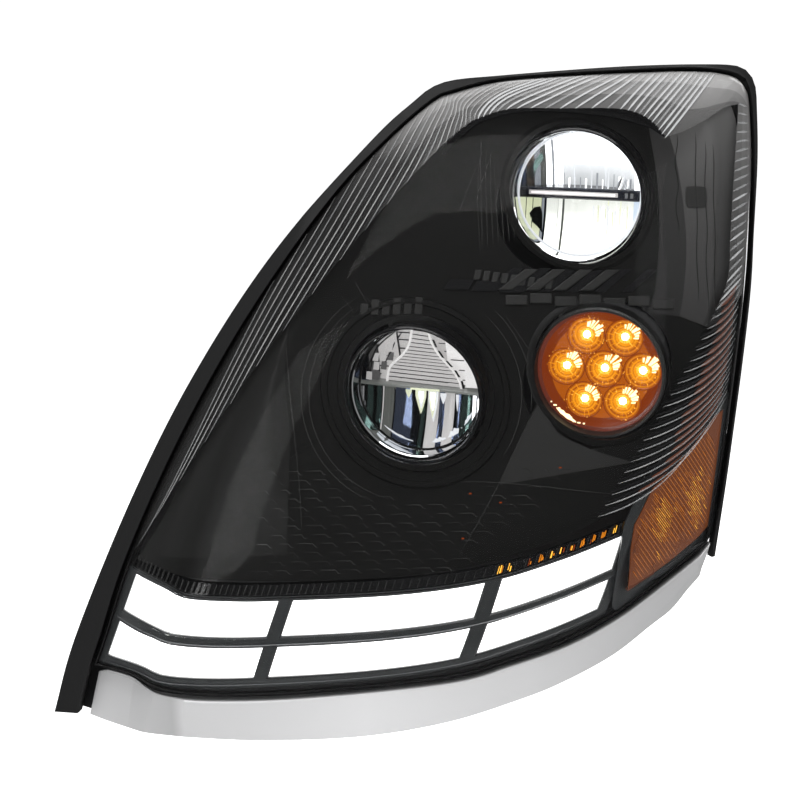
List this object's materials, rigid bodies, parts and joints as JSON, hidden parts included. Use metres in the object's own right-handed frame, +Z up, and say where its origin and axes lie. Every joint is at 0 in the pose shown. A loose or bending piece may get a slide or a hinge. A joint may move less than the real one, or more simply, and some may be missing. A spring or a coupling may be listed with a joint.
{
  "type": "headlight assembly",
  "caption": "Swept headlight for a heavy truck: low and high beam units, turn signal, running lights, side reflector, black bezel, clear lens and rear housing.",
  "frame": {"origin": "centre of the rear face of the mounting bracket, where the lamp bolts to the truck", "axes": "+X outboard (to the right seen from the front), +Y to the rear of the truck, out of the bracket's face; +Z up. The lamps look along -Y."},
  "size_m": [0.5605, 0.3766, 0.5483],
  "materials": {
    "black_plastic": "moulded black, fine grain",
    "gloss_black": "polished black",
    "grey_plastic": "dark grey, satin",
    "lens_clear": "clear polycarbonate, hard coated",
    "glass_clear": "clear",
    "rubber": "matt black",
    "silver_trim": "satin silver paint",
    "chrome": "vacuum metallised",
    "white_diffuser": "milky white, lit",
    "amber": "clear amber",
    "circuit_board": "white solder mask",
    "aluminium": "die cast",
    "zinc_steel": "zinc plated",
    "black_steel": "black e-coat",
    "nylon": "natural nylon"
  },
  "bodies": {
    "lamp_body": {"housing": "black_plastic", "lens": "lens_clear", "lens_sealant": "rubber", "edge_gasket": "rubber", "lower_trim": "silver_trim", "inner_bezel": "black_plastic", "low_beam_collar": "gloss_black", "high_beam_collar": "gloss_black", "drl_frame": "grey_plastic", "drl_diffuser_upper": "white_diffuser", "drl_diffuser_lower": "white_diffuser", "drl_board": "circuit_board", "side_reflector": "amber", "side_marker_board": "circuit_board", "turn_signal_ring": "gloss_black", "turn_signal_lens": "glass_clear", "turn_signal_housing": "black_plastic", "turn_signal_reflector": "chrome", "turn_signal_board": "circuit_board", "mounting_bracket": "black_steel", "led_driver": "aluminium", "harness_socket": "black_plastic", "breather_inboard": "rubber", "breather_outboard": "rubber", "bracket_bolt_1": "zinc_steel", "driver_screw_1": "zinc_steel", "bracket_bolt_2": "zinc_steel", "driver_screw_2": "zinc_steel", "bracket_bolt_3": "zinc_steel", "driver_screw_3": "zinc_steel", "bracket_bolt_4": "zinc_steel", "driver_screw_4": "zinc_steel", "low_beam_pivot_inboard": "zinc_steel", "low_beam_pivot_outboard": "zinc_steel", "high_beam_pivot_inboard": "zinc_steel", "high_beam_pivot_outboard": "zinc_steel"},
    "low_beam_unit": {"low_beam_glass": "glass_clear", "low_beam_ring": "chrome", "low_beam_reflector": "chrome", "low_beam_bar": "gloss_black", "low_beam_board": "circuit_board", "low_beam_heat_sink": "aluminium", "low_beam_carrier": "black_plastic", "low_beam_aim_nut": "nylon"},
    "low_beam_adjuster": {"low_beam_aim_screw": "nylon"},
    "low_beam_service_cap": {"low_beam_cap": "black_plastic", "low_beam_cap_seal": "rubber"},
    "high_beam_unit": {"high_beam_glass": "glass_clear", "high_beam_ring": "chrome", "high_beam_reflector": "chrome", "high_beam_bar": "gloss_black", "high_beam_board": "circuit_board", "high_beam_heat_sink": "aluminium", "high_beam_carrier": "black_plastic", "high_beam_aim_nut": "nylon"},
    "high_beam_adjuster": {"high_beam_aim_screw": "nylon"},
    "high_beam_service_cap": {"high_beam_cap": "black_plastic", "high_beam_cap_seal": "rubber"}
  },
  "joints": [
    {"name": "low_beam_tilt", "type": "hinge", "parent": "lamp_body", "child": "low_beam_unit", "pos_m": [0.10314, -0.08352, 0.10413], "axis": [1, 0, 0], "range_deg": [-3, 3]},
    {"name": "low_beam_aim", "type": "hinge", "parent": "lamp_body", "child": "low_beam_adjuster", "pos_m": [0.10314, -0.05452, 0.04213], "axis": [0, 1, 0], "range_deg": [-292, 292]},
    {"name": "low_beam_cap_twist", "type": "hinge", "parent": "lamp_body", "child": "low_beam_service_cap", "pos_m": [0.10314, 0.05, 0.10413], "axis": [0, 1, 0], "range_deg": [0, 30]},
    {"name": "high_beam_tilt", "type": "hinge", "parent": "lamp_body", "child": "high_beam_unit", "pos_m": [0.20781, 0.02852, 0.24849], "axis": [1, 0, 0], "range_deg": [-3, 3]},
    {"name": "high_beam_aim", "type": "hinge", "parent": "lamp_body", "child": "high_beam_adjuster", "pos_m": [0.20781, 0.05752, 0.18649], "axis": [0, 1, 0], "range_deg": [-292, 292]},
    {"name": "high_beam_cap_twist", "type": "hinge", "parent": "lamp_body", "child": "high_beam_service_cap", "pos_m": [0.20781, 0.125, 0.24849], "axis": [0, 1, 0], "range_deg": [0, 30]}
  ],
  "couplings": [
    {"joint": "low_beam_tilt", "follows": "low_beam_aim", "ratio": 0.010268},
    {"joint": "high_beam_tilt", "follows": "high_beam_aim", "ratio": 0.010268}
  ]
}
